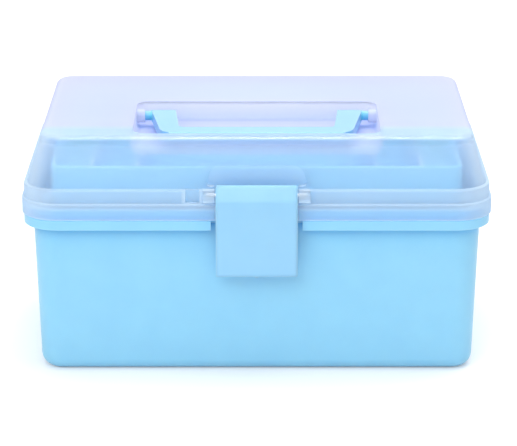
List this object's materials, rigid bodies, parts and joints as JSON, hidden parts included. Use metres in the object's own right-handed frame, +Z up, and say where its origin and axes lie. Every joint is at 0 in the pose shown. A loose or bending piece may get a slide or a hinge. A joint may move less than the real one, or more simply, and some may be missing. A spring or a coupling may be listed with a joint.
{
  "type": "art supply box",
  "caption": "Lidded plastic art supply box with a milky see-through lid, a fold-flat carry handle in a top well, a wide front latch and fold-out inner trays.",
  "frame": {"origin": "centre of the underside, on the surface the box stands on", "axes": "+X along the box's length to the right as seen from the front, -Y towards the front latch, +Z up"},
  "size_m": [0.3312, 0.2155, 0.1735],
  "materials": {
    "base_blue": "pastel blue moulded polypropylene, satin",
    "trim_blue": "pale aqua-blue moulded polypropylene, satin",
    "tray_blue": "pastel blue moulded polypropylene, satin",
    "lid_milky": "milky translucent polypropylene, satin",
    "divider_clear": "pale blue moulded plate, satin",
    "pin_steel": "drawn steel wire"
  },
  "bodies": {
    "base": {"base": "base_blue", "base_pivot_rivets": "trim_blue", "hinge_pin_left": "pin_steel", "hinge_pin_right": "pin_steel"},
    "lid": {"lid": "lid_milky", "latch_pin": "pin_steel"},
    "handle": {"handle": "trim_blue"},
    "latch": {"latch": "trim_blue"},
    "rear_arm_right": {"rear_arm_right": "trim_blue"},
    "rear_arm_left": {"rear_arm_left": "trim_blue"},
    "front_arm_right": {"front_arm_right": "trim_blue"},
    "front_arm_left": {"front_arm_left": "trim_blue"},
    "lower_tray": {"lower_tray": "tray_blue", "lower_tray_rivets": "trim_blue", "lower_divider_1": "divider_clear", "lower_divider_2": "divider_clear", "lower_divider_3": "divider_clear"},
    "upper_tray": {"upper_tray": "tray_blue", "upper_tray_rivets": "trim_blue", "upper_divider_1": "divider_clear", "upper_divider_2": "divider_clear", "upper_divider_3": "divider_clear", "upper_divider_4": "divider_clear"}
  },
  "joints": [
    {"name": "lid_hinge", "type": "hinge", "parent": "base", "child": "lid", "pos_m": [0, 0.1045, 0.117], "axis": [-1, 0, 0], "range_deg": [0, 105]},
    {"name": "handle_pivot", "type": "hinge", "parent": "lid", "child": "handle", "pos_m": [0, -0.01, 0.1675], "axis": [-1, 0, 0], "range_deg": [0, 95]},
    {"name": "latch_pivot", "type": "hinge", "parent": "lid", "child": "latch", "pos_m": [0, -0.101, 0.135], "axis": [-1, 0, 0], "range_deg": [0, 100]},
    {"name": "rear_arm_right_pivot", "type": "hinge", "parent": "base", "child": "rear_arm_right", "pos_m": [0, 0.07, 0.1067], "axis": [-1, 0, 0], "range_deg": [0, 62]},
    {"name": "rear_arm_left_pivot", "type": "hinge", "parent": "base", "child": "rear_arm_left", "pos_m": [0, 0.07, 0.1067], "axis": [-1, 0, 0], "range_deg": [0, 62]},
    {"name": "front_arm_right_pivot", "type": "hinge", "parent": "base", "child": "front_arm_right", "pos_m": [0, 0.01, 0.1067], "axis": [-1, 0, 0], "range_deg": [0, 62]},
    {"name": "front_arm_left_pivot", "type": "hinge", "parent": "base", "child": "front_arm_left", "pos_m": [0, 0.01, 0.1067], "axis": [-1, 0, 0], "range_deg": [0, 62]},
    {"name": "lower_tray_pivot", "type": "hinge", "parent": "rear_arm_right", "child": "lower_tray", "pos_m": [0, 0.02696, 0.11585], "axis": [-1, 0, 0], "range_deg": [-62, 0]},
    {"name": "upper_tray_pivot", "type": "hinge", "parent": "rear_arm_right", "child": "upper_tray", "pos_m": [0, -0.01608, 0.125], "axis": [-1, 0, 0], "range_deg": [-62, 0]}
  ],
  "couplings": [
    {"joint": "rear_arm_right_pivot", "follows": "lid_hinge", "ratio": 0.59},
    {"joint": "rear_arm_left_pivot", "follows": "lid_hinge", "ratio": 0.59},
    {"joint": "front_arm_right_pivot", "follows": "lid_hinge", "ratio": 0.59},
    {"joint": "front_arm_left_pivot", "follows": "lid_hinge", "ratio": 0.59},
    {"joint": "lower_tray_pivot", "follows": "lid_hinge", "ratio": -0.59},
    {"joint": "upper_tray_pivot", "follows": "lid_hinge", "ratio": -0.59}
  ]
}
